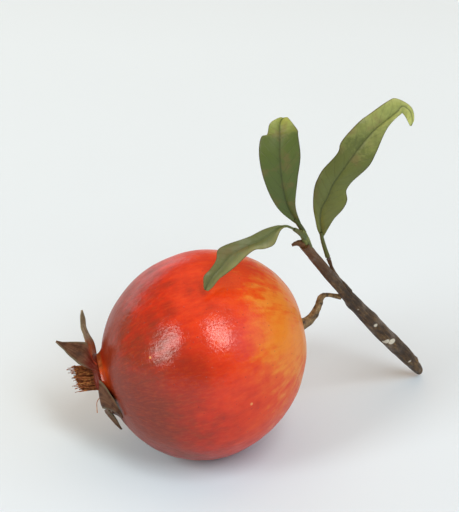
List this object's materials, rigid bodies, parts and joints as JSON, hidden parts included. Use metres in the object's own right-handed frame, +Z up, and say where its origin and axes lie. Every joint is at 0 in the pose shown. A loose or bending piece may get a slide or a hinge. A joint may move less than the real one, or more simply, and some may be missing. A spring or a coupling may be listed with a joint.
{
  "type": "pomegranate",
  "caption": "Ripe pomegranate lying on its side, with a calyx crown, dry stamens, a curved stalk, and a leafy woody twig that leans away from it.",
  "frame": {"origin": "middle of the small flat spot on the rind that the fruit rests on", "axes": "+X runs from the calyx crown towards the cut end of the twig, +Y away from the side the crown and stalk show best, +Z up"},
  "size_m": [0.1564, 0.0919, 0.148],
  "materials": {
    "rind": "smooth waxy rind, orange-red with a yellow stalk end and a dusky calyx end",
    "calyx": "dry leathery sepal, grey-brown",
    "stamens": "dry thread-like filaments, rusty brown",
    "stalk_skin": "thin tan-brown bark, slightly rough",
    "bark": "grey-brown bark with pale chips and a reddish upper end",
    "green_skin": "green young bark, satin",
    "leaf": "olive green leaf, satin"
  },
  "bodies": {
    "root": {"fruit": "rind", "calyx": "calyx", "stamens": "stamens", "fruit_stalk": "stalk_skin", "twig": "bark", "shoot_tip": "green_skin", "leaf_upright": "leaf", "leaf_drooping": "leaf", "leaf_tall": "leaf"}
  },
  "joints": []
}
